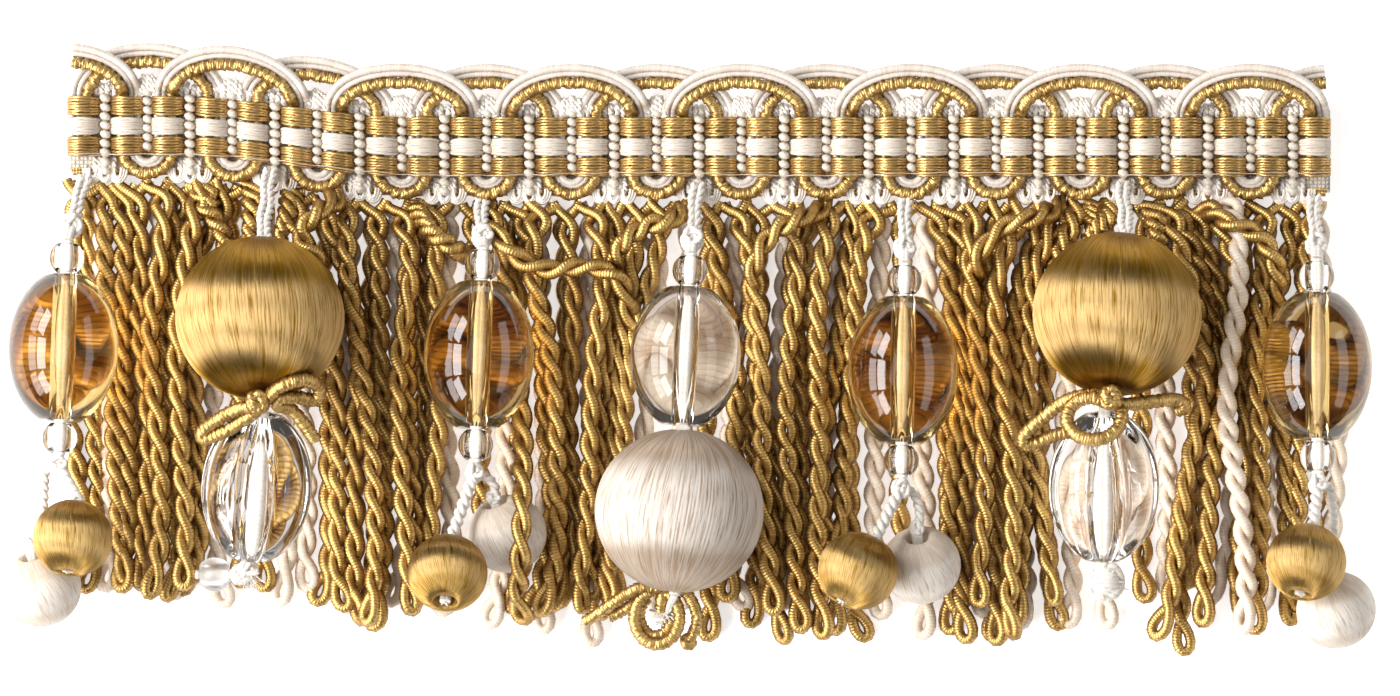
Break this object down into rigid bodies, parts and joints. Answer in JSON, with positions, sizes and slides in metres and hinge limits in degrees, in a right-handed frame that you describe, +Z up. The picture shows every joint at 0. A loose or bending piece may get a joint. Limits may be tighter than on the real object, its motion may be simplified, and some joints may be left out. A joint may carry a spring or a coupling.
{
  "type": "beaded fringe trim",
  "caption": "Straight length of looped cord fringe on a wavy gimp heading, hung with silk-covered balls and clear and amber oval beads, lying flat to edge upholstery or drapes.",
  "frame": {"origin": "middle of the underside of the whole part's box, on the surface it lies on", "axes": "+X along the heading towards the right as seen from above, +Y from the fringe's feet towards the heading, +Z up, off the surface"},
  "size_m": [0.2022, 0.0906, 0.0282],
  "materials": {
    "gold_silk": "lustrous rayon thread",
    "cream_silk": "lustrous rayon thread",
    "cream_cotton": "matt cotton thread",
    "clear_glass": "polished",
    "amber_glass": "polished"
  },
  "bodies": {
    "root": {"heading_tape": "cream_cotton", "gimp_front": "gold_silk", "gimp_back": "cream_silk", "band_gold_upper": "gold_silk", "band_cream": "cream_silk", "band_gold_lower": "gold_silk", "fringe_cream": "cream_silk", "fringe_gold": "gold_silk", "amber_drop_1_oval": "amber_glass", "amber_drop_1_upper_bead": "clear_glass", "amber_drop_1_lower_bead": "clear_glass", "amber_drop_1_gold_ball": "gold_silk", "amber_drop_1_cream_ball": "cream_silk", "amber_drop_1_cord": "cream_cotton", "amber_drop_1_cream_cord": "cream_cotton", "amber_drop_2_oval": "amber_glass", "amber_drop_2_upper_bead": "clear_glass", "amber_drop_2_lower_bead": "clear_glass", "amber_drop_2_gold_ball": "gold_silk", "amber_drop_2_cream_ball": "cream_silk", "amber_drop_2_cord": "cream_cotton", "amber_drop_2_cream_cord": "cream_cotton", "amber_drop_3_oval": "amber_glass", "amber_drop_3_upper_bead": "clear_glass", "amber_drop_3_lower_bead": "clear_glass", "amber_drop_3_gold_ball": "gold_silk", "amber_drop_3_cream_ball": "cream_silk", "amber_drop_3_cord": "cream_cotton", "amber_drop_3_cream_cord": "cream_cotton", "amber_drop_4_oval": "amber_glass", "amber_drop_4_upper_bead": "clear_glass", "amber_drop_4_lower_bead": "clear_glass", "amber_drop_4_gold_ball": "gold_silk", "amber_drop_4_cream_ball": "cream_silk", "amber_drop_4_cord": "cream_cotton", "amber_drop_4_cream_cord": "cream_cotton", "gold_drop_1_ball": "gold_silk", "gold_drop_1_oval": "clear_glass", "gold_drop_1_bow": "gold_silk", "gold_drop_1_cord": "cream_cotton", "gold_drop_2_ball": "gold_silk", "gold_drop_2_oval": "clear_glass", "gold_drop_2_bow": "gold_silk", "gold_drop_2_cord": "cream_cotton", "gold_drop_1_end_bead": "clear_glass", "cream_drop_bead": "clear_glass", "cream_drop_oval": "clear_glass", "cream_drop_ball": "cream_silk", "cream_drop_bow": "gold_silk", "cream_drop_cord": "cream_cotton"}
  },
  "joints": []
}
